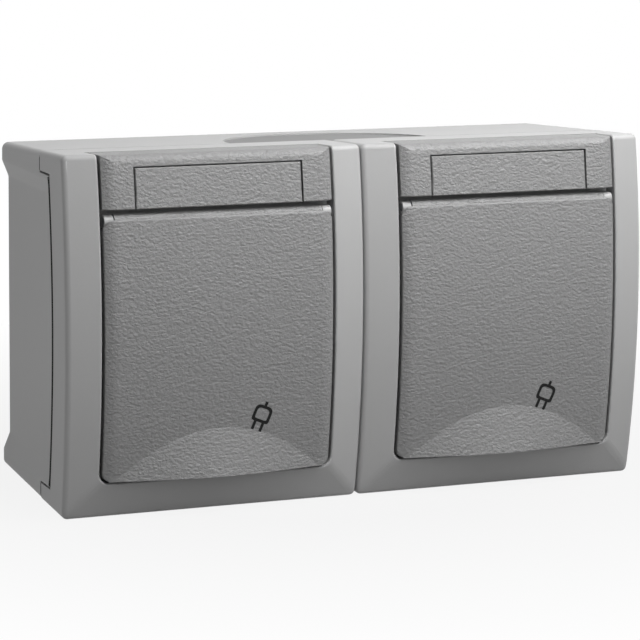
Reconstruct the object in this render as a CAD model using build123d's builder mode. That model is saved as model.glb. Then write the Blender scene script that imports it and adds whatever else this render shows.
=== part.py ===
from build123d import *
import math
import os

# Double surface-mount wall socket with two sprung lids.
# Origin: centre of the wall face. X to the right, Z up, the front faces -Y.
# A height is a distance from the wall, so a point at height h has y = -h.

# Front frames
frame_width = 70.6
frame_height = 80.4
frame_gap = 0.4
front_edge = 48.4
barrel_rise = 3.5
bar_rise = 1.9
body_draft = 2.8
frame_wall = 1.8
frame_front_wall = 2.2
frame_round = 1.3
mitre_round = 6.0
frame_back = 31.5
parting_depth = 10.0
top_ear = 5.15
bottom_ear = 4.9
parting_gap = 0.5

# Opening of a frame, with the ledge that carries the socket plate
side_bar = 7.7
bottom_bar = 8.1
opening_corner = 2.5
opening_round = 0.4
opening_wall = 1.5
ledge_share = 0.46
ledge_thickness = 1.8
rail_height = 2.8
rail_depth = 5.0
notch_depth = 6.0

# Lid and hinge cover
lid_proud = 0.9
lid_gap = 0.65
lid_bottom_gap = 0.5
lid_corner = 2.0
lid_thickness = 2.3
lid_rim_width = 1.6
lid_rim_depth = 3.4
lid_edge_round = 0.4
roll_width = 3.0
roll_drop = 1.0
roll_margin = 1.0
finger_lip_radius = 19.0
finger_lip_drop = 8.3
finger_lip_slope = 10.0
finger_lip_root = 0.2
cover_height = 11.75
cover_wall = 2.8
cover_top_wall = 2.0
cover_round = 2.0
cover_edge_round = 0.3
cover_clearance = 0.1
cover_rib_width = 1.5
cover_rib_inset = 3.95
cover_rib_lift = 2.0
label_width = 39.7
label_height = 9.2
label_depth = 1.5
label_gap = 0.35
label_edge_round = 0.25

# Hinge
groove = 2.15
hinge_drop = 0.4
hinge_depth = 2.1
knuckle_radius = 1.6
pin_radius = 0.8
pin_clearance = 0.05
lug_width = 2.0
lug_end_gap = 0.3
lug_radius = 1.4
lug_clearance = 0.25
spring_wire = 0.4
spring_sides = 6
spring_clearance = 0.15
spring_turns = 3.5
spring_pitch = 0.6
spring_hook = 1.6
spring_pocket = 8.0

# Socket dish
socket_z = -3.0
recess_radius = 19.75
recess_depth = 18.0
recess_wall = 2.0
recess_floor = 2.5
collar_share = 0.67
collar_height = 1.2
plate_thickness = 2.0
plate_clearance = 0.3
gasket_thickness = 0.8
seal_space = 2.6
seal_share = 0.69
seal_clearance = 0.1
seal_seat = 0.05
pin_pitch = 19.0
pin_hole_radius = 2.55
guide_rib_width = 4.0
guide_rib_depth = 1.6
guide_rib_drop = 1.0

# Contact carrier and contacts
base_width = 40.0
base_height = 54.0
base_depth = 18.3
base_floor = 2.0
base_wall = 1.2
base_corner = 2.0
base_gap = 0.2
spine_width = 8.4
bay_height = 18.0
tube_radius = 2.35
tube_thickness = 0.6
tube_slit = 0.8
tube_ring = 3.0
tube_drop = 0.8
clamp_gap = 0.1
clamp_root = 0.05
clamp_length = 8.0
clamp_height = 12.0
wire_hole_radius = 1.6
wire_hole_height = 4.0
strap_width = 8.0
strap_thickness = 0.8
strap_depth = 3.0
strap_clearance = 0.25
strap_bend = 1.0
clip_reach = 2.0
clip_nose = 5.0
clip_tail = 10.8
clip_tail_depth = 0.5
clip_slot_width = 9.0

# Screws
screw_clearance = 0.1
screw_slot_width = 0.9
screw_slot_depth = 0.9
dish_screw_radius = 1.75
dish_screw_head = 3.4
dish_screw_length = 15.0
countersink_angle = 82.0
terminal_screw_radius = 1.6
terminal_head_height = 2.0
terminal_screw_length = 5.0
earth_terminal_drop = 14.0
base_screw_radius = 1.7
base_screw_head = 3.2
base_head_height = 2.2
base_screw_length = 11.0
base_screw_seat = 4.0
base_screw_inset = 4.5

# Back box
box_wall = 2.2
waist_depth = 1.5
flare_band = 4.1
flare_run = 3.7
waist_round = 1.5
box_corner = 1.6
shadow_depth = 0.9
lip_clearance = 0.2
lip_thickness = 1.5
lip_reach = 4.0
lip_root = 7.0
lip_middle_gap = 3.8
boss_radius = 4.0
wall_hole_radius = 2.25
wall_hole_inset = 8.2
wall_pad_radius = 5.0
wall_pad_height = 1.6

# Cable entry insert in the top wall
entry_radius = 24.5
entry_step = 1.9
entry_recess = 0.3
entry_flange = 0.9
entry_clearance = 0.15
entry_bead = 0.8
entry_bead_overhang = 0.6

# Places that follow from those sizes
pitch = frame_width + frame_gap
frame_top = frame_height / 2
ear_top = frame_top - top_ear
ear_bottom = bottom_ear - frame_top
edge_crest = front_edge + barrel_rise
front_crest = edge_crest + bar_rise
barrel_radius = (frame_top**2 + barrel_rise**2) / (2 * barrel_rise)
barrel_centre = edge_crest - barrel_radius
draft = math.tan(math.radians(body_draft))
back_half = frame_width / 2 - (edge_crest - frame_back) * draft
back_top = frame_top - (front_edge - frame_back) * draft
inner_half = back_half - frame_wall
inner_top = back_top - frame_wall
parting_crest = edge_crest - parting_depth
opening_half = frame_width / 2 - side_bar
opening_bottom = bottom_bar - frame_top
lid_half = opening_half - lid_gap
lid_crest = front_crest + lid_proud
lid_inside = lid_crest - lid_thickness
lid_bottom = opening_bottom + lid_bottom_gap
cover_top = frame_top - cover_clearance
cover_ceiling = cover_top - cover_top_wall
cover_bottom = cover_top - cover_height
cover_rib_offset = lid_half - cover_rib_inset
lid_top = cover_bottom - groove
hinge_z = lid_top - hinge_drop
notch_back = front_edge - notch_depth
collar_top = lid_inside - seal_space
plate_front = collar_top - collar_height
plate_back = plate_front - plate_thickness
ledge_front = plate_back - gasket_thickness
ledge_back = ledge_front - ledge_thickness
ledge_width = ledge_share * (opening_half - recess_radius - recess_wall)
ledge_half = opening_half - ledge_width
strap_reach = recess_radius + recess_wall + strap_clearance + strap_thickness
ledge_bottom = opening_bottom + ledge_share * (socket_z - strap_reach - opening_bottom)
rail_top = cover_ceiling - lip_clearance
rail_bottom = rail_top - rail_height
plate_top = rail_top - lip_clearance
plate_bottom = opening_bottom + plate_clearance
plate_half = opening_half - plate_clearance
collar_space = min(lid_half - lid_rim_width, hinge_z - knuckle_radius - socket_z) - recess_radius
collar_width = collar_share * collar_space
seal_width = seal_share * collar_width
floor_front = collar_top - recess_depth
floor_back = floor_front - recess_floor
base_front = floor_back - base_gap
base_back = base_front - base_depth
bay_floor = base_back + base_floor
screw_seat = base_back + base_screw_seat
strap_front = base_front - strap_depth
strap_back = strap_front - strap_thickness
bay_outer = base_width / 2 - base_wall
tube_outer = pin_pitch / 2 + tube_radius + tube_thickness
clamp_offset = (tube_outer + bay_outer) / 2
clamp_outer = bay_outer - clamp_gap
clamp_inner = tube_outer - tube_thickness + clamp_root
clamp_front = bay_floor + clamp_height
terminal_screw_head = (terminal_screw_radius + bay_outer - clamp_offset) / 2
lug_offset = lid_half - lug_end_gap - lug_width / 2
knuckle_half = lug_offset - lug_width / 2 - lug_clearance
spring_radius = pin_radius + spring_clearance + spring_wire / 2
base_screw_x = base_width / 2 - base_screw_inset
base_screw_z = base_height / 2 - base_screw_inset
box_flare = (pitch + frame_width) / 2 - edge_crest * draft
box_half_height = frame_top - front_edge * draft
box_waist = box_flare - waist_depth
flare_start = box_half_height - flare_band
waist_end = flare_start - flare_run
wall_hole_x = box_flare - wall_hole_inset
wall_hole_z = box_half_height - wall_hole_inset
lip_outer_half = pitch / 2 + inner_half - lip_clearance
lip_outer_top = inner_top - lip_clearance
past = 20.0


def front(x, height, z=0.0):
    """Plane that faces the room at a height above the wall, with sketch axes X and Z."""
    return Plane(origin=(x, -height, z), x_dir=(1, 0, 0), z_dir=(0, -1, 0))


def section(x):
    """Side section plane at x, with sketch axes height above the wall and Z."""
    return Plane(origin=(x, 0, 0), x_dir=(0, -1, 0), z_dir=(-1, 0, 0))


def barrel(crest, z):
    """Height at z of the barrel-curved surface with this crest height."""
    return barrel_centre + math.sqrt((crest - barrel_centre) ** 2 - z**2)


def barrel_arc(crest, low, high):
    """Arc of that surface in a side section."""
    return ThreePointArc(*[(barrel(crest, z), z) for z in (low, (low + high) / 2, high)])


def barrel_profile(x, back, crest, low, high):
    """Side section at x between a flat back and the barrel surface."""
    with BuildSketch(section(x)) as profile:
        with BuildLine():
            curve = barrel_arc(crest, low, high)
            Polyline(curve @ 1, (back, high), (back, low), curve @ 0)
        make_face()
    return profile.sketch


def barrel_band(x, inner, outer, low, high):
    """Side section at x between two concentric barrel surfaces."""
    with BuildSketch(section(x)) as profile:
        with BuildLine():
            inside = barrel_arc(inner, low, high)
            outside = barrel_arc(outer, low, high)
            Line(inside @ 0, outside @ 0)
            Line(inside @ 1, outside @ 1)
        make_face()
    return profile.sketch


def sweep_start(x):
    """Plane through the barrel axis where a swept front begins, with heights from that axis."""
    return Plane(
        origin=(x, -barrel_centre, 0),
        x_dir=(1, 0, 0),
        z_dir=(0, math.sin(barrel_reach), -math.cos(barrel_reach)),
    )


def barrel_sweep(x, plan, mode=Mode.ADD):
    """Sweep a plan section round the barrel axis."""
    axis = Axis((x, -barrel_centre, 0), (-1, 0, 0))
    revolve(plan, axis=axis, revolution_arc=2 * math.degrees(barrel_reach), mode=mode)


def lid_plan(x, back):
    """Plan section of the lid and its header, rolled off at both sides."""
    face = lid_crest - barrel_centre
    low = back - barrel_centre
    flat = lid_half - roll_width
    with BuildSketch(sweep_start(x)) as plan:
        with BuildLine():
            Line((-flat, face), (flat, face))
            right = TangentArc((flat, face), (lid_half, face - roll_drop), tangent=(1, 0))
            left = TangentArc((-flat, face), (-lid_half, face - roll_drop), tangent=(-1, 0))
            Polyline(right @ 1, (lid_half, low), (-lid_half, low), left @ 1)
        make_face()
    return plan.sketch


def frame_plan(x):
    """Plan section of a frame, whose side bars fall away from the opening."""
    slope = bar_rise / side_bar
    inside = opening_half - opening_corner
    reach = frame_width / 2 + side_bar
    top = front_crest - barrel_centre + opening_corner * slope
    edge = top - (reach - inside) * slope
    right = [(inside, top), (reach, edge), (reach, -barrel_centre)]
    with BuildSketch(sweep_start(x)) as plan:
        with BuildLine():
            Polyline(*right, *[(-across, up) for across, up in reversed(right)], close=True)
        make_face()
    return plan.sketch


def frame_outline(x, height):
    """Outline of a frame at a height above the wall, upright on the side of its neighbour."""
    lean = (edge_crest - height) * draft
    top = frame_top - (front_edge - height) * draft
    middle = x - math.copysign(lean / 2, x)
    return block(front(middle, height), frame_width - lean, 2 * top)


def disc(plane, radius):
    """Round face on a plane."""
    with BuildSketch(plane) as face:
        Circle(radius)
    return face.sketch


def round_bar(x, height, z, radius):
    """Round face across X, centred at a height and z."""
    with BuildSketch(section(x)) as face:
        with Locations((height, z)):
            Circle(radius)
    return face.sketch


def block(plane, width, height):
    """Rectangular face centred on a plane."""
    with BuildSketch(plane) as face:
        Rectangle(width, height)
    return face.sketch


def span(plane, half_width, low, high, corner=0.0):
    """Face from low to high, with its two lower corners rounded."""
    with BuildSketch(plane) as face:
        with Locations((0, low)):
            Rectangle(2 * half_width, high - low, align=(Align.CENTER, Align.MIN))
        if corner:
            fillet(face.vertices().sort_by(Axis.Y)[:2], corner)
    return face.sketch


def add_screw(seat, head_radius, head_height, radius, length):
    """Add a slotted screw with its head on the seat plane and its shank below."""
    extrude(disc(seat, head_radius), amount=head_height)
    extrude(disc(seat, radius), amount=-length)
    slot = block(seat.offset(head_height), 2 * head_radius, screw_slot_width)
    extrude(slot, amount=-screw_slot_depth, mode=Mode.SUBTRACT)


def save(name, builder):
    """Label a finished piece and write it."""
    builder.part.label = name
    export_step(builder.part, f"parts/{name}.step")


hinge_height = barrel(lid_crest, hinge_z) - hinge_depth
barrel_reach = math.asin(frame_top / barrel_radius) + math.radians(roll_margin)


def make_front_frame(x):
    """Hollow frame with a barrel front, an opening with a ledge, and ears at its back."""
    lower = Vector(front_edge, -frame_top)
    upper = Vector(barrel(front_crest, opening_bottom), opening_bottom)
    run = upper - lower
    bar_middle = (opening_half + frame_width / 2) / 2
    with BuildPart() as frame:
        loft([frame_outline(x, frame_back), frame_outline(x, lid_crest)], ruled=True)
        barrel_sweep(x, frame_plan(x), mode=Mode.INTERSECT)
        # The bottom bar falls away from the opening like the side bars
        with BuildSketch(section(x)):
            with BuildLine():
                bevel = Line(lower - run, upper + run)
                Polyline(bevel @ 1, (2 * front_crest, opening_bottom), bevel @ 0)
            make_face()
        extrude(amount=frame_width, both=True, mode=Mode.SUBTRACT)
        middle = (upper + lower) / 2
        for side in (-1, 1):
            mitre = (x + side * bar_middle, -middle.X, middle.Y)
            fillet(frame.edges().sort_by_distance(mitre)[0], mitre_round)
        cheeks = frame.faces().filter_by(lambda face: abs(face.normal_at().Y) < 2 * draft)
        fillet(cheeks.edges().filter_by(lambda edge: edge.center().Y < -frame_back - frame_round), frame_round)
        # Back edge: ears at top and bottom, and the curve of the front between them
        with BuildSketch(section(x)):
            with BuildLine():
                parting = barrel_arc(parting_crest, ear_bottom, ear_top)
                Polyline(parting @ 1, (0, ear_top), (0, ear_bottom), parting @ 0)
            make_face()
        extrude(amount=frame_width, both=True, mode=Mode.SUBTRACT)
        hollow = barrel_profile(x, 0, edge_crest - frame_front_wall, -inner_top, inner_top)
        extrude(hollow, amount=inner_half, both=True, mode=Mode.SUBTRACT)
        # Walls round the opening, closed at their back by the ledge
        skin = front_crest - frame_front_wall / 2
        walls = barrel_profile(x, ledge_back, skin, opening_bottom - opening_wall, inner_top)
        extrude(walls, amount=opening_half + opening_wall, both=True)
        # Rail behind the hinge cover, hung from the top wall
        with BuildSketch(section(x)):
            with Locations((ledge_front, rail_top)):
                Rectangle(rail_depth, rail_height, align=(Align.MAX, Align.MAX))
            with Locations((notch_back, frame_top - frame_wall / 2)):
                Rectangle(
                    notch_back - ledge_front + rail_depth,
                    frame_top - frame_wall / 2 - rail_bottom,
                    align=(Align.MAX, Align.MAX),
                )
        extrude(amount=opening_half + opening_wall, both=True)
        window = span(front(x, ledge_front), opening_half, opening_bottom, rail_top, opening_corner)
        extrude(window, amount=past, mode=Mode.SUBTRACT)
        through = span(front(x, ledge_back - past), ledge_half, ledge_bottom, rail_bottom)
        extrude(through, amount=2 * past, mode=Mode.SUBTRACT)
        with BuildSketch(section(x)):
            with Locations((notch_back, rail_top)):
                Rectangle(past, past, align=(Align.MIN, Align.MIN))
        extrude(amount=opening_half, both=True, mode=Mode.SUBTRACT)
        brim = frame.edges().filter_by(
            lambda edge: edge.center().Y < -front_edge - opening_round
            and edge.center().Z > opening_bottom - opening_round
            and abs(edge.center().X - x) < opening_half + opening_round
        )
        fillet(brim, opening_round)
    return frame


def make_hinge_cover(x):
    """Header above the lid that wraps over the frame's top, with a label recess."""
    back = notch_back + cover_clearance
    cover_back_top = cover_top - (front_edge - back) * draft
    hem_back = barrel(lid_crest - cover_wall / 2, cover_bottom)
    with BuildPart() as cover:
        barrel_sweep(x, lid_plan(x, notch_back - past))
        with BuildSketch(section(x)) as shell:
            with BuildLine():
                outer = barrel_arc(lid_crest, cover_bottom, cover_top)
                inner = barrel_arc(lid_crest - cover_wall, cover_bottom, cover_ceiling)
                Line(outer @ 0, inner @ 0)
                Polyline(outer @ 1, (back, cover_back_top), (back, cover_ceiling), inner @ 1)
            make_face()
            brow = (barrel(lid_crest, cover_top), cover_top)
            fillet(shell.vertices().sort_by_distance(brow)[0], cover_round)
        extrude(amount=lid_half, both=True, mode=Mode.INTERSECT)
        hem = cover.faces().sort_by(Axis.Z)[0].edges()
        fillet(hem.filter_by(lambda edge: edge.center().Y < -hem_back), cover_edge_round)
        for side in (-1, 1):
            rib = barrel_profile(
                x + side * cover_rib_offset,
                plate_front,
                lid_crest - cover_wall / 2,
                cover_bottom + cover_rib_lift,
                cover_ceiling + cover_top_wall / 4,
            )
            extrude(rib, amount=cover_rib_width / 2, both=True)
        recess = barrel_band(
            x,
            lid_crest - label_depth,
            lid_crest + past,
            cover_bottom - groove,
            cover_bottom + label_height,
        )
        extrude(recess, amount=label_width / 2, both=True, mode=Mode.SUBTRACT)
    return cover


def make_label_cover(x):
    """Loose cover that fills the header's recess, flush with its front."""
    with BuildPart() as label:
        face = barrel_band(
            x,
            lid_crest - label_depth + cover_clearance,
            lid_crest,
            cover_bottom,
            cover_bottom + label_height - label_gap,
        )
        extrude(face, amount=label_width / 2 - label_gap, both=True)
        fillet(label.faces().sort_by(Axis.Y)[0].edges(), label_edge_round)
    return label


def make_lid(x):
    """Lid shell with a rim, a finger lip and hinge knuckles."""
    root = barrel(lid_crest, lid_bottom) - finger_lip_root
    lip_z = lid_bottom - finger_lip_drop
    lip_level = barrel(lid_crest, lip_z + finger_lip_radius)
    slope = math.tan(math.radians(finger_lip_slope))
    bore = pin_radius + pin_clearance
    slot_radius = lug_radius + lug_clearance
    rolled_crest = lid_crest - roll_drop - lid_edge_round
    with BuildPart() as lid:
        barrel_sweep(x, lid_plan(x, lid_crest - lid_rim_depth))
        outline = span(front(x, ledge_back), lid_half, lid_bottom, lid_top, lid_corner)
        extrude(outline, amount=past, mode=Mode.INTERSECT)
        sides = lid.faces().filter_by(lambda face: abs(face.normal_at().Y) < draft)
        front_edges = sides.edges().filter_by(
            lambda edge: edge.center().Y < -barrel(rolled_crest, edge.center().Z)
        )
        fillet(front_edges, lid_edge_round)
        hollow = barrel_profile(
            x, ledge_back - past, lid_inside, lid_bottom + lid_rim_width, frame_top + past / 2
        )
        extrude(hollow, amount=lid_half - lid_rim_width, both=True, mode=Mode.SUBTRACT)
        # Finger lip: a flat cone whose axis lies below the lid
        with BuildSketch(section(x)):
            with BuildLine():
                Polyline(
                    (root, lip_z),
                    (lip_level + finger_lip_radius * slope, lip_z),
                    (root, lip_z + finger_lip_radius + (lip_level - root) / slope),
                    close=True,
                )
            make_face()
        revolve(axis=Axis((x, 0, lip_z), (0, -1, 0)))
        below = span(front(x, ledge_back), frame_width / 2, lip_z - frame_height, lid_bottom)
        extrude(below, amount=past, mode=Mode.SUBTRACT)
        # One long knuckle between the two fixed lugs
        extrude(round_bar(x, hinge_height, hinge_z, knuckle_radius), amount=knuckle_half, both=True)
        for side in (-1, 1):
            with BuildSketch(section(x + side * (knuckle_half + lid_half) / 2)):
                with Locations((hinge_height, hinge_z)):
                    Circle(slot_radius)
                    Rectangle(past, 2 * slot_radius, align=(Align.MAX, Align.CENTER))
            extrude(amount=(lid_half - knuckle_half) / 2, both=True, mode=Mode.SUBTRACT)
        # Spring pocket, open to the back
        with BuildSketch(section(x)):
            with Locations((hinge_height, hinge_z)):
                Circle(spring_radius + spring_wire / 2 + spring_clearance)
                Rectangle(2 * knuckle_radius, 2 * knuckle_radius, align=(Align.MAX, Align.CENTER))
        extrude(amount=spring_pocket / 2, both=True, mode=Mode.SUBTRACT)
        pin_hole = round_bar(x, hinge_height, hinge_z, bore)
        extrude(pin_hole, amount=frame_width / 2, both=True, mode=Mode.SUBTRACT)
    return lid


def make_lid_seal(x):
    """Soft ring on the inside of the lid, above the dish collar."""
    middle = recess_radius + collar_width / 2
    with BuildPart() as seal:
        with BuildSketch(front(x, collar_top + seal_clearance, socket_z)):
            Circle(middle + seal_width / 2)
            Circle(middle - seal_width / 2, mode=Mode.SUBTRACT)
        extrude(amount=past)
        under_lid = barrel_profile(x, 0, lid_inside - seal_seat, -frame_top, frame_top)
        extrude(under_lid, amount=frame_width / 2, both=True, mode=Mode.INTERSECT)
    return seal


def make_hinge_pin(x):
    """Steel pin through the lugs and knuckles."""
    with BuildPart() as pin:
        extrude(
            round_bar(x, hinge_height, hinge_z, pin_radius),
            amount=lug_offset + lug_width / 2,
            both=True,
        )
    return pin


def make_lid_spring(x):
    """Torsion spring round the pin, with a hook along it and a leg to the socket plate."""
    length = spring_turns * spring_pitch
    centre = (x - length / 2, -hinge_height, hinge_z)
    wire = spring_wire / 2
    with BuildPart() as spring:
        with BuildLine() as coil:
            Helix(spring_pitch, length, spring_radius, centre, (1, 0, 0))
        with BuildSketch(Plane(origin=coil.line @ 0, z_dir=coil.line % 0)):
            RegularPolygon(wire, spring_sides)
        sweep(path=coil.line)
        # Hook and leg start inside the wire of the coil
        hook_start = coil.line @ 0 + Vector(wire, 0, 0)
        hook = disc(Plane(origin=hook_start, z_dir=(-1, 0, 0)), wire)
        extrude(hook, amount=spring_hook + wire)
        leg_start = coil.line @ 1 - Vector(0, wire, 0)
        leg = disc(Plane(origin=leg_start, z_dir=(0, 1, 0)), wire)
        extrude(leg, amount=-leg_start.Y - plate_front - spring_clearance)
    return spring


def make_socket_dish(x):
    """Plate with the round plug recess, its collar, and the lugs of the hinge."""
    with BuildPart() as dish:
        outline = span(front(x, plate_back), plate_half, plate_bottom, plate_top, opening_corner)
        extrude(outline, amount=plate_thickness)
        collar = disc(front(x, plate_back, socket_z), recess_radius + collar_width)
        extrude(collar, amount=collar_top - plate_back)
        cup = disc(front(x, floor_back, socket_z), recess_radius + recess_wall)
        extrude(cup, amount=plate_front - floor_back)
        recess = disc(front(x, floor_front, socket_z), recess_radius)
        extrude(recess, amount=2 * past, mode=Mode.SUBTRACT)
        with BuildSketch(front(x, floor_front, socket_z)):
            with GridLocations(2 * recess_radius, 0, 2, 1):
                Rectangle(2 * guide_rib_depth, guide_rib_width)
        extrude(amount=recess_depth - guide_rib_drop)
        # Slots for the earth clips, above and below
        with BuildSketch(front(x, floor_front, socket_z)):
            with GridLocations(0, 2 * recess_radius + recess_wall, 1, 2):
                Rectangle(clip_slot_width, 2 * recess_wall)
        extrude(amount=plate_back - floor_front, mode=Mode.SUBTRACT)
        with BuildSketch(front(x, floor_back, socket_z)):
            with GridLocations(pin_pitch, 0, 2, 1):
                Circle(pin_hole_radius)
        extrude(amount=recess_floor, mode=Mode.SUBTRACT)
        with Locations(front(x, floor_front, socket_z)):
            CounterSinkHole(
                dish_screw_radius + screw_clearance,
                dish_screw_head + screw_clearance,
                recess_floor,
                countersink_angle,
            )
        for side in (-1, 1):
            with BuildSketch(section(x + side * lug_offset)):
                with Locations((hinge_height, hinge_z)):
                    Circle(lug_radius)
                    Rectangle(
                        hinge_height - plate_back, 2 * lug_radius, align=(Align.MAX, Align.CENTER)
                    )
                    Circle(pin_radius + pin_clearance, mode=Mode.SUBTRACT)
            extrude(amount=lug_width / 2, both=True)
    return dish


def make_cover_seal(x):
    """Flat gasket between the socket plate and the frame's ledge."""
    with BuildPart() as gasket:
        plane = front(x, ledge_front)
        outline = span(plane, plate_half, plate_bottom, plate_top, opening_corner)
        extrude(outline, amount=gasket_thickness)
        inside = span(plane, ledge_half, ledge_bottom, rail_bottom)
        extrude(inside, amount=gasket_thickness, mode=Mode.SUBTRACT)
    return gasket


def make_dish_screw(x):
    """Countersunk screw in the middle of the recess."""
    cone = (dish_screw_head - dish_screw_radius) / math.tan(math.radians(countersink_angle / 2))
    tip = floor_front - dish_screw_length
    with BuildPart() as screw:
        with BuildSketch(section(x)):
            with BuildLine():
                Polyline(
                    (floor_front, socket_z),
                    (floor_front, socket_z + dish_screw_head),
                    (floor_front - cone, socket_z + dish_screw_radius),
                    (tip, socket_z + dish_screw_radius),
                    (tip, socket_z),
                    close=True,
                )
            make_face()
        revolve(axis=Axis((x, 0, socket_z), (0, -1, 0)))
        slot = block(front(x, floor_front, socket_z), 2 * dish_screw_head, screw_slot_width)
        extrude(slot, amount=-screw_slot_depth, mode=Mode.SUBTRACT)
    return screw


def make_socket_base(x):
    """Moulded carrier with a bay for each contact and a channel for the earth strap."""
    bay_width = bay_outer - spine_width / 2
    bay_middle = (bay_outer + spine_width / 2) / 2
    channel = strap_width + 2 * strap_clearance
    with BuildPart() as base:
        with BuildSketch(front(x, base_back, socket_z)):
            RectangleRounded(base_width, base_height, base_corner)
        extrude(amount=base_depth)
        with BuildSketch(front(x, bay_floor, socket_z)):
            with GridLocations(2 * bay_middle, 0, 2, 1):
                Rectangle(bay_width, bay_height)
            # Ways for the wires: down from one clamp, up from the other
            for side in (-1, 1):
                with Locations((side * clamp_offset, 0)):
                    Rectangle(
                        2 * wire_hole_radius,
                        base_height,
                        align=(Align.CENTER, Align.MIN if side > 0 else Align.MAX),
                    )
        extrude(amount=past, mode=Mode.SUBTRACT)
        strap_way = block(front(x, strap_back, socket_z), channel, base_height)
        extrude(strap_way, amount=past, mode=Mode.SUBTRACT)
        pilot = disc(front(x, strap_back, socket_z), dish_screw_radius + screw_clearance)
        extrude(pilot, amount=floor_front - dish_screw_length - strap_back, mode=Mode.SUBTRACT)
        earth = front(x, strap_back, socket_z - earth_terminal_drop)
        pilot = disc(earth, terminal_screw_radius + screw_clearance)
        extrude(pilot, amount=-terminal_screw_length, mode=Mode.SUBTRACT)
        for side in (-1, 1):
            seat = front(x + side * base_screw_x, base_front, socket_z - side * base_screw_z)
            with Locations(seat):
                CounterBoreHole(
                    base_screw_radius + screw_clearance,
                    base_screw_head + screw_clearance,
                    base_front - screw_seat,
                    base_depth,
                )
    return base


def make_contact(x, side):
    """Split tube that grips a plug pin, with a screw clamp for the wire beside it."""
    tube = front(x + side * pin_pitch / 2, bay_floor, socket_z)
    clamp = front(x + side * clamp_offset, bay_floor, socket_z)
    tube_height = base_front - tube_drop - bay_floor
    with BuildPart() as contact:
        extrude(disc(tube, tube_radius + tube_thickness), amount=tube_height)
        shank = front(x + side * (clamp_inner + clamp_outer) / 2, bay_floor, socket_z)
        extrude(block(shank, clamp_outer - clamp_inner, clamp_length), amount=clamp_height)
        extrude(disc(tube, tube_radius), amount=tube_height, mode=Mode.SUBTRACT)
        slit = block(tube.offset(tube_ring), tube_slit, 4 * tube_radius)
        extrude(slit, amount=tube_height, mode=Mode.SUBTRACT)
        thread = disc(clamp.offset(clamp_height), terminal_screw_radius + screw_clearance)
        extrude(thread, amount=-terminal_screw_length - wire_hole_radius, mode=Mode.SUBTRACT)
        way = clamp.offset(wire_hole_height)
        wire_hole = disc(Plane(origin=way.origin, z_dir=(0, 0, 1)), wire_hole_radius)
        extrude(wire_hole, amount=clamp_length, both=True, mode=Mode.SUBTRACT)
    return contact


def make_earth_strap(x):
    """Bent strap behind the recess, with a sprung clip at its top and bottom."""
    flat = (strap_front + strap_back) / 2
    arm = strap_reach - strap_thickness / 2
    crown = plate_back - strap_thickness
    half = [
        (flat, arm),
        (crown, arm),
        (crown, recess_radius - strap_clearance),
        (crown - clip_nose, recess_radius - clip_reach),
        (crown - clip_tail, recess_radius + clip_tail_depth),
    ]
    route = [(h, socket_z + z) for h, z in reversed(half)]
    route += [(h, socket_z - z) for h, z in half]
    with BuildPart() as strap:
        with BuildSketch(section(x)):
            with BuildLine():
                FilletPolyline(*route, radius=strap_bend)
            trace(line_width=strap_thickness)
        extrude(amount=strap_width / 2, both=True)
        hole = disc(front(x, strap_back, socket_z), dish_screw_radius + strap_clearance)
        extrude(hole, amount=strap_thickness, mode=Mode.SUBTRACT)
        earth = front(x, strap_back, socket_z - earth_terminal_drop)
        hole = disc(earth, terminal_screw_radius + strap_clearance)
        extrude(hole, amount=strap_thickness, mode=Mode.SUBTRACT)
    return strap


def make_terminal_screws(x):
    """One slotted screw in each contact clamp and one on the earth strap."""
    seats = [front(x + side * clamp_offset, clamp_front, socket_z) for side in (-1, 1)]
    seats.append(front(x, strap_front, socket_z - earth_terminal_drop))
    with BuildPart() as screws:
        for seat in seats:
            add_screw(
                seat,
                terminal_screw_head,
                terminal_head_height,
                terminal_screw_radius,
                terminal_screw_length,
            )
    return screws


def make_base_screws(x):
    """Two screws that hold the carrier on the box's bosses."""
    with BuildPart() as screws:
        for side in (-1, 1):
            seat = front(x + side * base_screw_x, screw_seat, socket_z - side * base_screw_z)
            add_screw(
                seat, base_screw_head, base_head_height, base_screw_radius, base_screw_length
            )
    return screws


def box_outline(height, inset):
    """Waisted, drafted outline of the box, inset from its outside, at a height above the wall."""
    flare = box_flare + height * draft - inset
    waist = flare - waist_depth
    top = box_half_height + height * draft - inset
    right = [
        (flare, -top),
        (flare, -flare_start),
        (waist, -waist_end),
        (waist, waist_end),
        (flare, flare_start),
        (flare, top),
    ]
    with BuildSketch(front(0, height)) as face:
        with BuildLine():
            Polyline(*right, *[(-x, z) for x, z in reversed(right)], close=True)
        make_face()
        corners = face.vertices().sort_by(lambda vertex: abs(vertex.Y))
        fillet(corners[-4:], box_corner)
        bends = face.vertices().sort_by(lambda vertex: abs(vertex.Y))
        fillet(bends[:8], waist_round)
    return face.sketch


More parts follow.
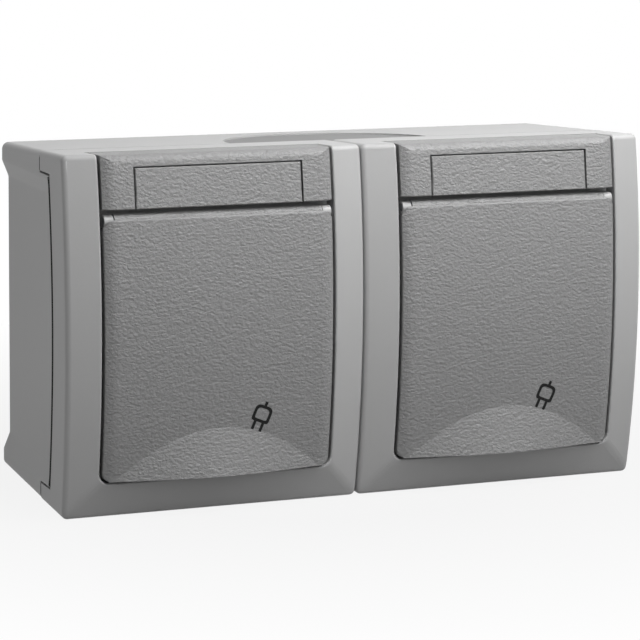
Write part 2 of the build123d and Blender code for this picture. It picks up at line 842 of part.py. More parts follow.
def make_back_box(module_centres, entry_face):
    """Open-fronted box with a lip for the frames, screw bosses and a cable entry."""
    lip_back = frame_back - lip_root
    boss_hole = base_screw_length - base_screw_seat
    width = 2 * box_flare
    with BuildPart() as box:
        loft([box_outline(0, 0), box_outline(front_crest, 0)], ruled=True)
        loft(
            [box_outline(box_wall, box_wall), box_outline(front_crest, box_wall)],
            ruled=True,
            mode=Mode.SUBTRACT,
        )
        # Front edge: flat at top and bottom, following the front curve at the sides
        with BuildSketch(section(0)):
            with BuildLine():
                parting = barrel_arc(
                    parting_crest - parting_gap,
                    ear_bottom + parting_gap,
                    ear_top - parting_gap,
                )
                Polyline(
                    parting @ 1,
                    (frame_back, ear_top - parting_gap),
                    (frame_back, frame_height),
                    (2 * front_crest, frame_height),
                    (2 * front_crest, -frame_height),
                    (frame_back, -frame_height),
                    (frame_back, ear_bottom + parting_gap),
                    parting @ 0,
                )
            make_face()
        extrude(amount=width, both=True, mode=Mode.SUBTRACT)
        # Shadow line between box and frames
        with BuildSketch(section(0)):
            for edge, align in ((1, Align.MIN), (-1, Align.MAX)):
                with Locations((frame_back, edge * (back_top - shadow_depth))):
                    Rectangle(parting_gap, past, align=(Align.MAX, align))
        extrude(amount=width, both=True, mode=Mode.SUBTRACT)
        # Lip inside the frames, open at the cable entry and between the frames
        for edge, gap in ((1, entry_radius + entry_step), (-1, lip_middle_gap)):
            with BuildSketch(front(0, lip_back)):
                for side in (-1, 1):
                    with Locations((side * (lip_outer_half + gap) / 2, edge * lip_outer_top)):
                        Rectangle(
                            lip_outer_half - gap,
                            lip_thickness,
                            align=(Align.CENTER, Align.MAX if edge > 0 else Align.MIN),
                        )
            extrude(amount=lip_root + lip_reach)
        for side in (-1, 1):
            cheek = barrel_profile(
                side * (box_waist - lip_thickness / 2),
                lip_back,
                parting_crest + lip_reach,
                -lip_outer_top,
                lip_outer_top,
            )
            extrude(cheek, amount=lip_thickness / 2, both=True)
        for x in module_centres:
            for side in (-1, 1):
                foot = front(x + side * base_screw_x, 0, socket_z - side * base_screw_z)
                extrude(disc(foot, boss_radius), amount=base_back)
                pilot = disc(foot.offset(base_back), base_screw_radius + screw_clearance)
                extrude(pilot, amount=-boss_hole, mode=Mode.SUBTRACT)
        with BuildSketch(front(0, 0)):
            with GridLocations(2 * wall_hole_x, 2 * wall_hole_z, 2, 2):
                Circle(wall_pad_radius)
        extrude(amount=box_wall + wall_pad_height)
        with BuildSketch(front(0, 0)):
            with GridLocations(2 * wall_hole_x, 2 * wall_hole_z, 2, 2):
                Circle(wall_hole_radius)
        extrude(amount=box_wall + wall_pad_height, mode=Mode.SUBTRACT)
        extrude(
            disc(entry_face, entry_radius),
            amount=-entry_recess - entry_flange,
            mode=Mode.SUBTRACT,
        )
        extrude(
            disc(entry_face, entry_radius - entry_step), amount=-2 * box_wall, mode=Mode.SUBTRACT
        )
    return box


def half_disc(plane, radius):
    """Half-round face that ends just short of the frames."""
    with BuildSketch(plane) as face:
        Circle(radius)
        with Locations((0, entry_clearance)):
            Rectangle(3 * radius, 3 * radius, align=(Align.CENTER, Align.MAX), mode=Mode.SUBTRACT)
    return face.sketch


def make_cable_entry_insert(entry_face):
    """Soft half-round insert that snaps into the top wall."""
    neck = entry_radius - entry_step - entry_clearance
    underside = box_wall + entry_clearance
    with BuildPart() as insert:
        flange = half_disc(entry_face.offset(-entry_recess), entry_radius - entry_clearance)
        extrude(flange, amount=-entry_flange)
        extrude(half_disc(entry_face.offset(-entry_recess), neck), amount=entry_recess - underside)
        bead = half_disc(entry_face.offset(-underside), neck + entry_bead_overhang)
        extrude(bead, amount=-entry_bead)
    return insert


os.makedirs("parts", exist_ok=True)

entry_face = Plane(
    origin=(0, -frame_back, back_top), x_dir=(1, 0, 0), z_dir=Vector(0, draft, 1).normalized()
)
save("back_box", make_back_box((-pitch / 2, pitch / 2), entry_face))
save("cable_entry_insert", make_cable_entry_insert(entry_face))

for side, x in (("left", -pitch / 2), ("right", pitch / 2)):
    save(f"{side}_front_frame", make_front_frame(x))
    save(f"{side}_hinge_cover", make_hinge_cover(x))
    save(f"{side}_label_cover", make_label_cover(x))
    save(f"{side}_lid", make_lid(x))
    save(f"{side}_lid_seal", make_lid_seal(x))
    save(f"{side}_hinge_pin", make_hinge_pin(x))
    save(f"{side}_lid_spring", make_lid_spring(x))
    save(f"{side}_socket_dish", make_socket_dish(x))
    save(f"{side}_cover_seal", make_cover_seal(x))
    save(f"{side}_dish_screw", make_dish_screw(x))
    save(f"{side}_socket_base", make_socket_base(x))
    save(f"{side}_live_contact", make_contact(x, -1))
    save(f"{side}_neutral_contact", make_contact(x, 1))
    save(f"{side}_earth_strap", make_earth_strap(x))
    save(f"{side}_terminal_screws", make_terminal_screws(x))
    save(f"{side}_base_screws", make_base_screws(x))
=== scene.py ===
"""Dress a double surface-mount wall socket with sprung lids and set it in a plain studio."""

import logging
import math
from dataclasses import dataclass
from enum import Enum

import bmesh
import bpy
from mathutils import Matrix, Vector
from mathutils.bvhtree import BVHTree


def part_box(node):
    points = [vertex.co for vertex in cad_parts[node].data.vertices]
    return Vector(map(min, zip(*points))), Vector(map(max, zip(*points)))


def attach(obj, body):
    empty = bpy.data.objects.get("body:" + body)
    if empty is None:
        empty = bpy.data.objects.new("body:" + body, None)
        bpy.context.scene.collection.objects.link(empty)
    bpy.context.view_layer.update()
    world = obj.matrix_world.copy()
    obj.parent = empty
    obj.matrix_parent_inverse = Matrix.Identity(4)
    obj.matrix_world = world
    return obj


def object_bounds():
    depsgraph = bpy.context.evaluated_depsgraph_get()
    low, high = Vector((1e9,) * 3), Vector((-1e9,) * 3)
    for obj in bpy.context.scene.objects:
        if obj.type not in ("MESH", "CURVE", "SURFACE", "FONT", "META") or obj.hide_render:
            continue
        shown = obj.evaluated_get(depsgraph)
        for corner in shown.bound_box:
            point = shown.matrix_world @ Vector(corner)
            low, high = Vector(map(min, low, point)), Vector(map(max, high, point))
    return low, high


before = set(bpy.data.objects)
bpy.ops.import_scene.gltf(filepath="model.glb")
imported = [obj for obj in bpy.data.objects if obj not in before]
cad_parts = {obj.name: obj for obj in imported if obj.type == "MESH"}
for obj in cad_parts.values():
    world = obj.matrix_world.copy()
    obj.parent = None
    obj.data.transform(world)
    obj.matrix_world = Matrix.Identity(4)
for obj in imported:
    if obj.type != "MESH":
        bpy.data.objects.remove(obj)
cad_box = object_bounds()

log = logging.getLogger("wall_socket")

MM = 0.001
# Layers of ever finer noise in a fine and in a broad pattern
FINE_LAYERS = 2.0
BROAD_LAYERS = 3.0


class Side(Enum):
    """The two outlets, by the side on which they stand."""

    LEFT = "left"
    RIGHT = "right"

    def node(self, piece: str) -> str:
        """Name of this side's node or piece."""
        return f"{self.value}_{piece}"

    @property
    def hand(self) -> int:
        """Direction of this side along X."""
        return -1 if self is Side.LEFT else 1

    @property
    def lid_body(self) -> str:
        """Name of the body that swings with this side's lid."""
        return f"{self.value}_lid_body"


def linear(colour: str) -> tuple[float, float, float, float]:
    """Turn an sRGB hex colour to linear light.

    Args:
        colour: six hex digits after a hash sign.

    Returns:
        Red, green, blue and alpha, each from 0 to 1.
    """
    levels = [int(colour[place : place + 2], 16) / 255 for place in (1, 3, 5)]
    red, green, blue = (
        level / 12.92 if level <= 0.04045 else ((level + 0.055) / 1.055) ** 2.4 for level in levels
    )
    return (red, green, blue, 1.0)


def direction(azimuth: float, elevation: float) -> Vector:
    """Point away from the part, into the room.

    Args:
        azimuth: degrees to the right of straight ahead.
        elevation: degrees above the level.

    Returns:
        A vector of length one.
    """
    turn = math.radians(azimuth)
    rise = math.radians(elevation)
    return Vector(
        (math.sin(turn) * math.cos(rise), -math.cos(turn) * math.cos(rise), math.sin(rise))
    )


def add_node(
    tree: bpy.types.NodeTree, kind: str, inputs: dict | None = None, **settings: object
) -> bpy.types.Node:
    """Add a node with its settings, input values and links.

    Args:
        tree: the node tree that gets the node.
        kind: Blender's name of the node type.
        inputs: value, or output socket to link, for each input by name or number.
        settings: attributes of the node.

    Returns:
        The new node.
    """
    node = tree.nodes.new(kind)
    for name, value in settings.items():
        setattr(node, name, value)
    for key, value in (inputs or {}).items():
        if isinstance(value, bpy.types.NodeSocket):
            tree.links.new(value, node.inputs[key])
        else:
            node.inputs[key].default_value = value
    return node


def new_tree(name: str) -> tuple[bpy.types.Material, bpy.types.NodeTree, bpy.types.NodeSocket]:
    """Start an empty node material.

    Args:
        name: the material's name.

    Returns:
        The material, its tree, and the coordinates of the piece in metres.
    """
    material = bpy.data.materials.new(name)
    material.use_nodes = True
    tree = material.node_tree
    tree.nodes.clear()
    place = add_node(tree, "ShaderNodeTexCoord").outputs["Object"]
    return material, tree, place


@dataclass(frozen=True)
class MouldedPlastic:
    """Injection-moulded thermoplastic from a spark-eroded mould."""

    name: str
    colour: str
    roughness: float = 0.46
    ior: float = 1.54
    pit_mm: float = 0.45
    pit_depth_mm: float = 0.010
    pit_raggedness: float = 0.55
    mottle_mm: float = 28.0
    mottle: float = 0.025
    gloss_spread: float = 0.03

    def relief(self, tree: bpy.types.NodeTree, place: bpy.types.NodeSocket) -> bpy.types.NodeSocket:
        """Make the bump of the eroded mould, drawn coarse enough to show.

        Args:
            tree: the material's tree.
            place: coordinates in metres.

        Returns:
            The bumped normal.
        """
        pits = add_node(
            tree,
            "ShaderNodeTexNoise",
            {
                "Vector": place,
                "Scale": 1 / (self.pit_mm * MM),
                "Detail": FINE_LAYERS,
                "Roughness": self.pit_raggedness,
            },
        )
        bump = add_node(
            tree,
            "ShaderNodeBump",
            {"Height": pits.outputs["Fac"], "Strength": 1.0, "Distance": self.pit_depth_mm * MM},
        )
        return bump.outputs["Normal"]

    def material(self) -> bpy.types.Material:
        """Build the material.

        Returns:
            A satin plastic with a faint mottle of tone and of gloss.
        """
        material, tree, place = new_tree(self.name)
        drift = add_node(
            tree,
            "ShaderNodeTexNoise",
            {"Vector": place, "Scale": 1 / (self.mottle_mm * MM), "Detail": BROAD_LAYERS},
        ).outputs["Fac"]
        base = linear(self.colour)
        tones = add_node(tree, "ShaderNodeValToRGB", {"Fac": drift})
        for element, gain in zip(tones.color_ramp.elements, (1 - self.mottle, 1 + self.mottle)):
            element.color = (*(gain * level for level in base[:3]), 1.0)
        gloss = add_node(
            tree,
            "ShaderNodeMapRange",
            {
                "Value": drift,
                "To Min": self.roughness - self.gloss_spread,
                "To Max": self.roughness + self.gloss_spread,
            },
        )
        shader = add_node(
            tree,
            "ShaderNodeBsdfPrincipled",
            {
                "Base Color": tones.outputs["Color"],
                "Roughness": gloss.outputs["Result"],
                "IOR": self.ior,
                "Normal": self.relief(tree, place),
            },
        )
        add_node(tree, "ShaderNodeOutputMaterial", {"Surface": shader.outputs["BSDF"]})
        return material


@dataclass(frozen=True)
class GrainedPlastic(MouldedPlastic):
    """Moulded plastic from a mould that was etched with a leather grain."""

    grain_mm: float = 0.64
    grain_depth_mm: float = 0.18
    pebble_softness: float = 0.6
    pebble_weight: float = 0.8
    crease_mm: float = 0.4
    crease_wander: float = 0.6
    sway_mm: float = 0.25
    stretch: float = 1.5
    slant: float = 8.0

    def relief(self, tree: bpy.types.NodeTree, place: bpy.types.NodeSocket) -> bpy.types.NodeSocket:
        """Make pebbles drawn out along the lid, with soft creases, swayed out of even cells.

        Args:
            tree: the material's tree.
            place: coordinates in metres.

        Returns:
            The bumped normal.
        """
        along = add_node(
            tree,
            "ShaderNodeMapping",
            {
                "Vector": place,
                "Rotation": (0.0, -math.radians(self.slant), 0.0),
                "Scale": (1 / self.stretch, 1.0, 1.0),
            },
        ).outputs["Vector"]
        sway = add_node(
            tree,
            "ShaderNodeTexNoise",
            {"Vector": along, "Scale": 1 / (2 * self.grain_mm * MM), "Detail": FINE_LAYERS},
        )
        # The noise runs from 0 to 1, so that twice the sway is its whole travel
        offset = add_node(
            tree,
            "ShaderNodeVectorMath",
            {0: sway.outputs["Color"], 1: (2 * self.sway_mm * MM,) * 3, 2: along},
            operation="MULTIPLY_ADD",
        ).outputs["Vector"]
        pebbles = add_node(
            tree,
            "ShaderNodeTexVoronoi",
            {
                "Vector": offset,
                "Scale": 1 / (self.grain_mm * MM),
                "Smoothness": self.pebble_softness,
            },
            feature="SMOOTH_F1",
        )
        creases = add_node(
            tree,
            "ShaderNodeTexNoise",
            {
                "Vector": offset,
                "Scale": 1 / (self.crease_mm * MM),
                "Detail": FINE_LAYERS,
                "Distortion": self.crease_wander,
            },
        )
        height = add_node(
            tree,
            "ShaderNodeMath",
            {0: pebbles.outputs["Distance"], 1: -self.pebble_weight, 2: creases.outputs["Fac"]},
            operation="MULTIPLY_ADD",
        )
        bump = add_node(
            tree,
            "ShaderNodeBump",
            {
                "Height": height.outputs["Value"],
                "Strength": 1.0,
                "Distance": self.grain_depth_mm * MM,
            },
        )
        return bump.outputs["Normal"]


@dataclass(frozen=True)
class PlatedMetal:
    """Stamped or turned metal with a plated or bright rolled surface."""

    name: str
    colour: str
    roughness: float
    scratch_mm: float = 0.25
    scratch_depth_mm: float = 0.004
    scratch_strength: float = 0.6
    scratch_length: float = 12.5
    gloss_swing: float = 0.3

    def material(self) -> bpy.types.Material:
        """Build the material.

        Returns:
            A metal with fine rolling lines and an uneven gloss.
        """
        material, tree, place = new_tree(self.name)
        along = add_node(
            tree,
            "ShaderNodeMapping",
            {"Vector": place, "Scale": (1 / self.scratch_length, 1.0, 1.0)},
        ).outputs["Vector"]
        lines = add_node(
            tree,
            "ShaderNodeTexNoise",
            {"Vector": along, "Scale": 1 / (self.scratch_mm * MM), "Detail": BROAD_LAYERS},
        ).outputs["Fac"]
        gloss = add_node(
            tree,
            "ShaderNodeMapRange",
            {
                "Value": lines,
                "To Min": (1 - self.gloss_swing) * self.roughness,
                "To Max": (1 + self.gloss_swing) * self.roughness,
            },
        )
        bump = add_node(
            tree,
            "ShaderNodeBump",
            {
                "Height": lines,
                "Strength": self.scratch_strength,
                "Distance": self.scratch_depth_mm * MM,
            },
        )
        shader = add_node(
            tree,
            "ShaderNodeBsdfPrincipled",
            {
                "Base Color": linear(self.colour),
                "Metallic": 1.0,
                "Roughness": gloss.outputs["Result"],
                "Normal": bump.outputs["Normal"],
            },
        )
        add_node(tree, "ShaderNodeOutputMaterial", {"Surface": shader.outputs["BSDF"]})
        return material


# Polycarbonate blend, moulded in a spark-eroded tool: an even, dry, satin light grey.
HOUSING_GREY = MouldedPlastic("polycarbonate_satin_light_grey", "#B2B2B2")
# The same plastic from a finer tool: a little smoother round the plug recess.
DISH_GREY = MouldedPlastic(
    "polycarbonate_fine_satin_grey", "#ABABAB", roughness=0.4, pit_depth_mm=0.006
)
# Polycarbonate from a leather-etched tool: dull pebbles with a glint on their shoulders.
LID_GREY = GrainedPlastic("polycarbonate_leather_grain_dark_grey", "#888888", roughness=0.44)
# Thermoplastic elastomer, moulded: soft, dry and nearly without gloss.
INSERT_SOFT = MouldedPlastic("elastomer_moulded_grey", "#8E8E8E", roughness=0.8, ior=1.4)
# Rubber, moulded: a dull black that takes up light; the same black also paints the shade in the gaps
# between frames and box.
SEAL_RUBBER_AND_GAP_SHADE = MouldedPlastic("rubber_moulded_black_and_gap_shade", "#181818", roughness=0.9, ior=1.3)
# Urea thermoset, pressed: hard off-white with a slight shine.
CARRIER_WHITE = MouldedPlastic("thermoset_pressed_off_white", "#DCD8CE", roughness=0.35, ior=1.6)
# Zinc-plated steel: bluish bright metal with a fine haze.
ZINC_STEEL = PlatedMetal("steel_zinc_plated", "#C3C6C9", roughness=0.28)
# Stamped brass strip: warm bright metal with rolling lines.
STAMPED_BRASS = PlatedMetal("brass_stamped", "#D9B86C", roughness=0.26)
# Nickel-plated bronze strip: warm white metal.
NICKEL_STRIP = PlatedMetal("bronze_strip_nickel_plated", "#CFCBC2", roughness=0.22)
# Pad print ink: a thin, dull, nearly black coat that levels the grain below it.
SIGN_INK = MouldedPlastic(
    "ink_pad_printed_dark_grey", "#141414", roughness=0.75, ior=1.3, pit_depth_mm=0.004, mottle=0.05
)


def dress(node: str, material: bpy.types.Material) -> None:
    """Give a CAD node its finish.

    Args:
        node: the node's name.
        material: the finish.
    """
    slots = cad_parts[node].data.materials
    slots.clear()
    slots.append(material)
    log.info("%s: %s", node, material.name)


def add_strip(mesh: bmesh.types.BMesh, rows: list[list[Vector]]) -> None:
    """Add a closed strip to a mesh.

    Args:
        mesh: the mesh that gets it.
        rows: the strip's long edges in order round its section, point by point.
    """
    edges = [[mesh.verts.new(point) for point in row] for row in rows]
    for near, far in zip(edges, edges[1:] + edges[:1]):
        for place in range(len(near) - 1):
            mesh.faces.new((near[place], near[place + 1], far[place + 1], far[place]))
    for end in (0, -1):
        mesh.faces.new([edge[end] for edge in edges])


def add_piece(
    name: str, mesh: bmesh.types.BMesh, material: bpy.types.Material, body: str
) -> bpy.types.Object:
    """Turn a finished mesh into a piece that moves with a body.

    Args:
        name: the piece's name.
        mesh: its mesh, which is freed.
        material: its finish.
        body: the body that carries it.

    Returns:
        The piece.
    """
    bmesh.ops.recalc_face_normals(mesh, faces=mesh.faces)
    data = bpy.data.meshes.new(name)
    mesh.to_mesh(data)
    mesh.free()
    data.materials.append(material)
    piece = bpy.data.objects.new(name, data)
    bpy.context.scene.collection.objects.link(piece)
    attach(piece, body)
    log.info("%s: %s", name, material.name)
    return piece


def surface(node: str) -> BVHTree:
    """Make a CAD node's surface ready for rays.

    Args:
        node: the node's name.

    Returns:
        A search tree of its faces.
    """
    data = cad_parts[node].data
    return BVHTree.FromPolygons(
        [vertex.co for vertex in data.vertices], [tuple(face.vertices) for face in data.polygons]
    )


def end_of(tree: BVHTree, side: Side, height: float, level: float) -> float:
    """Find how far a surface reaches at one end of the box.

    Args:
        tree: the surface.
        side: the end.
        height: distance from the wall in millimetres.
        level: Z in millimetres.

    Returns:
        The surface's X in metres.
    """
    # The ray starts well outside the box
    start = Vector((side.hand * 2 * cad_box[1][0], -height * MM, level * MM))
    return tree.ray_cast(start, Vector((-side.hand, 0.0, 0.0)))[0].x


@dataclass
class GapShadeStrip:
    """Black strip of painted shade in the gap between box and frame, along their curve; lengths in
    millimetres.
    """

    axis_height: float = -180.71
    radius: float = 222.36
    thickness: float = 0.4
    bulge: float = 0.7
    clearance: float = 0.05
    low: float = -34.7
    high: float = 34.45
    depth: float = 2.8
    inset: float = 0.03
    ahead: float = 0.8
    count: int = 40

    def spot(self, reach: float, turn: float) -> tuple[float, float]:
        """Height above the wall and level of a place on the barrel, in millimetres."""
        return self.axis_height + reach * math.cos(turn), reach * math.sin(turn)

    def section(self, side: Side, cheek: BVHTree, box: BVHTree, share: float) -> list[Vector]:
        """Cut across the strip, which fills the gap and stands a little behind it.

        Args:
            side: the end of the box.
            cheek: the frame's surface.
            box: the box's surface.
            share: place along the strip, from 0 to 1.

        Returns:
            The corners in order.
        """
        turn = math.asin((self.low + (self.high - self.low) * share) / self.radius)
        back = self.radius - self.thickness / 2
        front = self.radius + self.thickness / 2
        behind = back - self.bulge
        hand = side.hand
        flush = end_of(cheek, side, *self.spot(self.radius + self.ahead, turn))
        edge = flush - hand * self.inset * MM
        root = edge - hand * self.depth * MM
        waist = end_of(box, side, *self.spot(behind, turn)) + hand * self.clearance * MM
        rim = hand * max(hand * edge, hand * waist + self.clearance * MM)
        corners = []
        for reach, x in (
            (back, root),
            (back, waist),
            (behind, waist),
            (behind, rim),
            (front, edge),
            (front, root),
        ):
            height, level = self.spot(reach, turn)
            corners.append(Vector((x, -height * MM, level * MM)))
        return corners

    def build(self, side: Side, material: bpy.types.Material) -> bpy.types.Object:
        """Lay the black strip of painted shade in the gap at one end of the box.

        Args:
            side: the end of the box.
            material: the black that paints the shade in the gap.

        Returns:
            The strip, just inside the frame's side.
        """
        cheek = surface(side.node(Housing.frame_piece))
        box = surface(Housing.box)
        sections = [
            self.section(side, cheek, box, number / self.count) for number in range(self.count + 1)
        ]
        # The black strip fills the gap and paints the shade that falls in it
        mesh = bmesh.new()
        add_strip(mesh, [list(row) for row in zip(*sections)])
        return add_piece(side.node("gap_shade_strip"), mesh, material, "housing")


@dataclass
class EarSeamShade:
    """Dark strips of painted shade over the joints where a frame's ears meet the box at one end;
    lengths in millimetres.
    """

    height: float = 31.5
    width: float = 0.4
    coat: float = 0.02
    sink: float = 0.15
    spans: tuple[tuple[float, float], ...] = ((35.07, 38.25), (-35.32, -38.25))
    count: int = 8

    def build(self, side: Side, material: bpy.types.Material) -> bpy.types.Object:
        """Lay the strips of painted shade over the joint of frame and box.

        Args:
            side: the end of the box.
            material: the black that paints the shade.

        Returns:
            The upper and the lower strip of painted shade, laid on both pieces.
        """
        ear = (self.height + self.width / 2, surface(side.node(Housing.frame_piece)))
        wall = (self.height - self.width / 2, surface(Housing.box))
        corners = ((ear, self.coat), (wall, self.coat), (wall, -self.sink), (ear, -self.sink))
        # Each dark strip paints the shade of a groove that the solids lack
        mesh = bmesh.new()
        for low, high in self.spans:
            levels = [low + (high - low) * number / self.count for number in range(self.count + 1)]
            rows = []
            for (height, tree), lift in corners:
                proud = side.hand * lift * MM
                rows.append(
                    [
                        Vector((end_of(tree, side, height, level) + proud, -height * MM, level * MM))
                        for level in levels
                    ]
                )
            add_strip(mesh, rows)
        return add_piece(side.node("ear_seam_shades"), mesh, material, "housing")


@dataclass
class Housing:
    """Back box, cable entry insert, the two frames and the dark strips of painted shade in the gaps
    between them.
    """

    box: str = "back_box"
    insert: str = "cable_entry_insert"
    frame_piece: str = "front_frame"

    def build(self) -> None:
        """Dress the box, the insert and both frames, and lay the dark strips of painted shade in the
        gaps and over the joints.
        """
        grey = HOUSING_GREY.material()
        gap_shade_black = SEAL_RUBBER_AND_GAP_SHADE.material()
        gap_shade = GapShadeStrip()
        seam_shade = EarSeamShade()
        dress(self.box, grey)
        dress(self.insert, INSERT_SOFT.material())
        for side in Side:
            dress(side.node(self.frame_piece), grey)
            # The dark strips in the gap and over the ear joints are painted shade
            gap_shade.build(side, gap_shade_black)
            seam_shade.build(side, gap_shade_black)


@dataclass
class OutletInsides:
    """What lies behind the lids: dishes, seals, contacts, screws and hinges."""

    def build(self) -> None:
        """Dress the inner pieces of both outlets."""
        finishes = {
            DISH_GREY: ("socket_dish",),
            SEAL_RUBBER_AND_GAP_SHADE: ("cover_seal", "lid_seal"),
            CARRIER_WHITE: ("socket_base",),
            ZINC_STEEL: ("dish_screw", "terminal_screws", "base_screws", "hinge_pin", "lid_spring"),
            STAMPED_BRASS: ("live_contact", "neutral_contact"),
            NICKEL_STRIP: ("earth_strap",),
        }
        for finish, pieces in finishes.items():
            material = finish.material()
            for side in Side:
                for piece in pieces:
                    dress(side.node(piece), material)


@dataclass
class PlugSign:
    """Printed sign of a two-pin plug on a lid; lengths in millimetres, angle in degrees."""

    offset_x: float = 9.9
    offset_z: float = -18.5
    tilt: float = 22.0
    line: float = 0.68
    body_width: float = 3.7
    body_height: float = 3.25
    pin_length: float = 2.3
    pin_spacing: float = 2.0
    cord_length: float = 1.25
    top_power: float = 0.55
    base_power: float = 0.28
    ring_count: int = 48
    coat: float = 0.03
    sink: float = 0.02
    step: float = 0.22
    ahead: float = 10.0
    weld: float = 0.003

    def body_ring(self, inset: float) -> list[Vector]:
        """Outline of the plug's body: a flat base under a round top.

        Args:
            inset: distance inside the middle of the line, in millimetres.

        Returns:
            Points in the sign's own plane, in millimetres.
        """
        half = self.body_width / 2 - inset
        low = inset
        high = self.body_height - inset
        # A squarish oval above the base, by the power rule of a superellipse
        points = []
        for number in range(self.ring_count):
            turn = 2 * math.pi * number / self.ring_count
            power = self.top_power if math.sin(turn) > 0 else self.base_power
            across = math.copysign(abs(math.cos(turn)) ** power, math.cos(turn))
            up = math.copysign(abs(math.sin(turn)) ** power, math.sin(turn))
            points.append(Vector((half * across, (low + high) / 2 + (high - low) / 2 * up)))
        return points

    def strips(self) -> list[tuple[list[Vector], list[Vector]]]:
        """List the strokes as pairs of matching edges.

        Returns:
            For each stroke its two edges, point by point.
        """
        outer = self.body_ring(-self.line / 2)
        inner = self.body_ring(self.line / 2)
        strokes = [(outer + outer[:1], inner + inner[:1])]
        straight = [
            (-self.pin_spacing / 2, -self.pin_length, -self.line / 2),
            (self.pin_spacing / 2, -self.pin_length, -self.line / 2),
            (0.0, self.body_height + self.line / 2, self.body_height + self.cord_length),
        ]
        for middle, low, high in straight:
            count = max(2, round((high - low) / self.step))
            levels = [low + (high - low) * number / count for number in range(count + 1)]
            strokes.append(
                (
                    [Vector((middle - self.line / 2, level)) for level in levels],
                    [Vector((middle + self.line / 2, level)) for level in levels],
                )
            )
        return strokes

    def lay(self, tree: BVHTree, centre: Vector, point: Vector, lift: float) -> Vector:
        """Drop a point of the sign onto the lid and lift it off again.

        Args:
            tree: the lid's surface.
            centre: X and Z of the sign's middle, in metres.
            point: place in the sign's own plane, in millimetres.
            lift: height over the lid, in millimetres.

        Returns:
            The point in space.
        """
        middle = Vector((0.0, self.body_height / 2))
        flat = centre + Matrix.Rotation(-math.radians(self.tilt), 2) @ (point - middle) * MM
        start = Vector((flat.x, cad_box[0][1] - self.ahead * MM, flat.y))
        hit = tree.ray_cast(start, Vector((0.0, 1.0, 0.0)))[0]
        return hit + Vector((0.0, -lift * MM, 0.0))

    def build(self, side: Side, material: bpy.types.Material) -> bpy.types.Object:
        """Print the sign on a lid's face.

        Args:
            side: the lid that carries it.
            material: the ink.

        Returns:
            The sign, as a thin coat that follows the lid.
        """
        lid = side.node("lid")
        low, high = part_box(lid)
        centre = Vector(((low.x + high.x) / 2 + self.offset_x * MM, self.offset_z * MM))
        tree = surface(lid)
        mesh = bmesh.new()
        for first, second in self.strips():
            edges = (
                (first, -self.sink),
                (first, self.coat),
                (second, self.coat),
                (second, -self.sink),
            )
            rows = [[self.lay(tree, centre, point, lift) for point in edge] for edge, lift in edges]
            add_strip(mesh, rows)
        bmesh.ops.remove_doubles(mesh, verts=mesh.verts, dist=self.weld * MM)
        return add_piece(side.node("plug_sign"), mesh, material, side.lid_body)


@dataclass
class Lids:
    """The grained pieces of both outlets and their printed signs."""

    grained: tuple[str, ...] = ("lid", "hinge_cover", "label_cover")

    def build(self) -> None:
        """Dress the grained pieces and print the signs."""
        grain = LID_GREY.material()
        ink = SIGN_INK.material()
        sign = PlugSign()
        for side in Side:
            for piece in self.grained:
                dress(side.node(piece), grain)
            sign.build(side, ink)


@dataclass
class SoftLamp:
    """A square soft lamp; lengths in metres, angles in degrees from the part's middle."""

    name: str
    azimuth: float
    elevation: float
    distance: float
    size: float
    power: float

    def build(self, aim: Vector) -> None:
        """Hang the lamp and point it at the part.

        Args:
            aim: the point that it lights.
        """
        data = bpy.data.lights.new(self.name, "AREA")
        data.shape = "SQUARE"
        data.size = self.size
        data.energy = self.power
        lamp = bpy.data.objects.new(self.name, data)
        away = direction(self.azimuth, self.elevation)
        lamp.location = aim + away * self.distance
        lamp.rotation_euler = away.to_track_quat("Z", "Y").to_euler()
        bpy.context.scene.collection.objects.link(lamp)


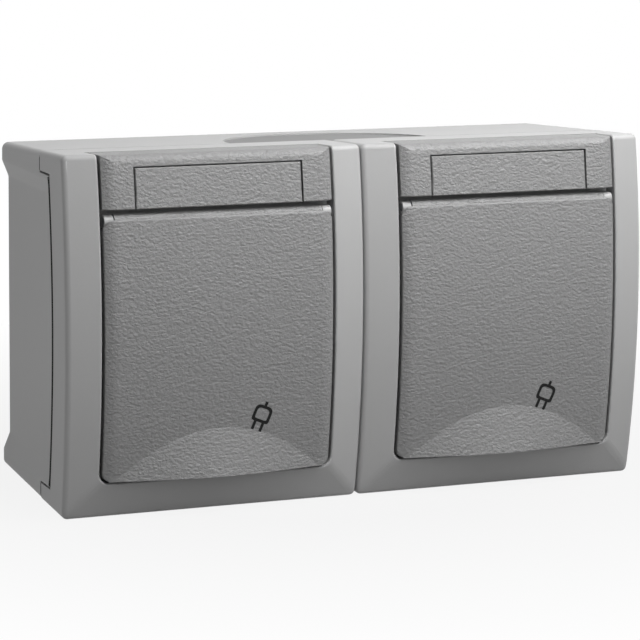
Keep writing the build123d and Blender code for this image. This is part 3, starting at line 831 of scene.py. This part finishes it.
@dataclass
class Studio:
    """Camera, lamps, white background and floor.

    Angles are in degrees. The camera's lengths are in millimetres, the floor's in metres.
    """

    azimuth: float = -23.78
    elevation: float = 9.69
    roll: float = 0.66
    distance: float = 715.7
    aim: tuple[float, float, float] = (0.97, -24.74, -3.6)
    lens: float = 172.7
    sensor: float = 36.0
    near: float = 10.0
    floor_size: float = 6.0
    floor_white: float = 0.88
    white: str = "#FFFFFF"
    card: str = "#808080"
    shadow_reach: tuple[float, float] = (0.08, 0.2)
    # Each with its azimuth, elevation, distance, size and power
    lamps: tuple[SoftLamp, ...] = (
        SoftLamp("top_softbox", 15.0, 62.0, 0.27, 0.15, 0.334),
        SoftLamp("right_softbox", 60.0, 50.0, 0.3, 0.16, 0.459),
        SoftLamp("front_softbox", 20.0, 45.0, 0.3, 0.16, 0.168),
        SoftLamp("front_fill", 10.0, 25.0, 0.6, 0.3, 0.64),
        SoftLamp("left_fill", -70.0, 25.0, 0.6, 0.3, 0.569),
        SoftLamp("back_fill", 180.0, -1.0, 0.6, 0.05, 1.2),
    )

    def place_camera(self) -> None:
        """Set the camera at the photograph's viewing angle."""
        data = bpy.data.cameras.new("camera")
        data.lens = self.lens
        data.sensor_width = self.sensor
        data.sensor_fit = "HORIZONTAL"
        data.clip_start = self.near * MM
        camera = bpy.data.objects.new("camera", data)
        back = direction(self.azimuth, self.elevation)
        upright = back.to_track_quat("Z", "Y").to_matrix()
        lean = Matrix.Rotation(math.radians(self.roll), 3, "Z")
        camera.rotation_euler = (upright @ lean).to_euler()
        camera.location = Vector(self.aim) * MM + back * self.distance * MM
        bpy.context.scene.collection.objects.link(camera)
        bpy.context.scene.camera = camera

    def seen(self, tree: bpy.types.NodeTree) -> bpy.types.NodeSocket:
        """Tell apart the rays that show the background.

        Args:
            tree: a floor or world tree.

        Returns:
            One for camera, mirror and see-through rays, else nothing.
        """
        rays = add_node(tree, "ShaderNodeLightPath").outputs
        mirror = add_node(
            tree,
            "ShaderNodeMath",
            {0: rays["Is Camera Ray"], 1: rays["Is Glossy Ray"]},
            operation="MAXIMUM",
        )
        return add_node(
            tree,
            "ShaderNodeMath",
            {0: mirror.outputs["Value"], 1: rays["Is Transmission Ray"]},
            operation="MAXIMUM",
        ).outputs["Value"]

    def light_world(self) -> None:
        """Set a white background, which shows in gloss but doesn't light the part."""
        world = bpy.data.worlds.new("studio")
        world.use_nodes = True
        tree = world.node_tree
        tree.nodes.clear()
        white = add_node(
            tree,
            "ShaderNodeBackground",
            {"Color": linear(self.white), "Strength": self.seen(tree)},
        )
        add_node(tree, "ShaderNodeOutputWorld", {"Surface": white.outputs["Background"]})
        bpy.context.scene.world = world

    def lay_floor(self) -> None:
        """Lay a pale floor under the part, which keeps its shadow."""
        low, _ = cad_box
        material, tree, place = new_tree("floor_pale_card")
        card = add_node(tree, "ShaderNodeBsdfDiffuse", {"Color": linear(self.card)}).outputs["BSDF"]
        white = add_node(
            tree, "ShaderNodeEmission", {"Color": linear(self.white), "Strength": 1.0}
        ).outputs["Emission"]
        away = add_node(tree, "ShaderNodeVectorMath", {0: place}, operation="LENGTH")
        share = add_node(
            tree,
            "ShaderNodeMapRange",
            {
                "Value": away.outputs["Value"],
                "From Min": self.shadow_reach[0],
                "From Max": self.shadow_reach[1],
                "To Min": self.floor_white,
                "To Max": 1.0,
            },
        )
        pale = add_node(
            tree, "ShaderNodeMixShader", {"Fac": share.outputs["Result"], 1: card, 2: white}
        )
        shown = add_node(
            tree,
            "ShaderNodeMixShader",
            {"Fac": self.seen(tree), 1: card, 2: pale.outputs["Shader"]},
        )
        add_node(tree, "ShaderNodeOutputMaterial", {"Surface": shown.outputs["Shader"]})
        half = self.floor_size / 2
        data = bpy.data.meshes.new("floor")
        corners = [(-half, -half), (half, -half), (half, half), (-half, half)]
        data.from_pydata([(x, y, low[2]) for x, y in corners], [], [(0, 1, 2, 3)])
        data.materials.append(material)
        floor = bpy.data.objects.new("floor", data)
        bpy.context.scene.collection.objects.link(floor)

    def build(self) -> None:
        """Set up the whole studio."""
        bpy.context.scene.view_settings.view_transform = "Standard"
        self.place_camera()
        self.light_world()
        self.lay_floor()
        for lamp in self.lamps:
            lamp.build(Vector(self.aim) * MM)


def main() -> None:
    """Build the classes in order."""
    logging.basicConfig(level=logging.INFO, format="%(name)s %(message)s")
    for part in (Housing(), OutletInsides(), Lids(), Studio()):
        part.build()
        log.info("built %s", type(part).__name__)


if __name__ == "__main__":
    main()
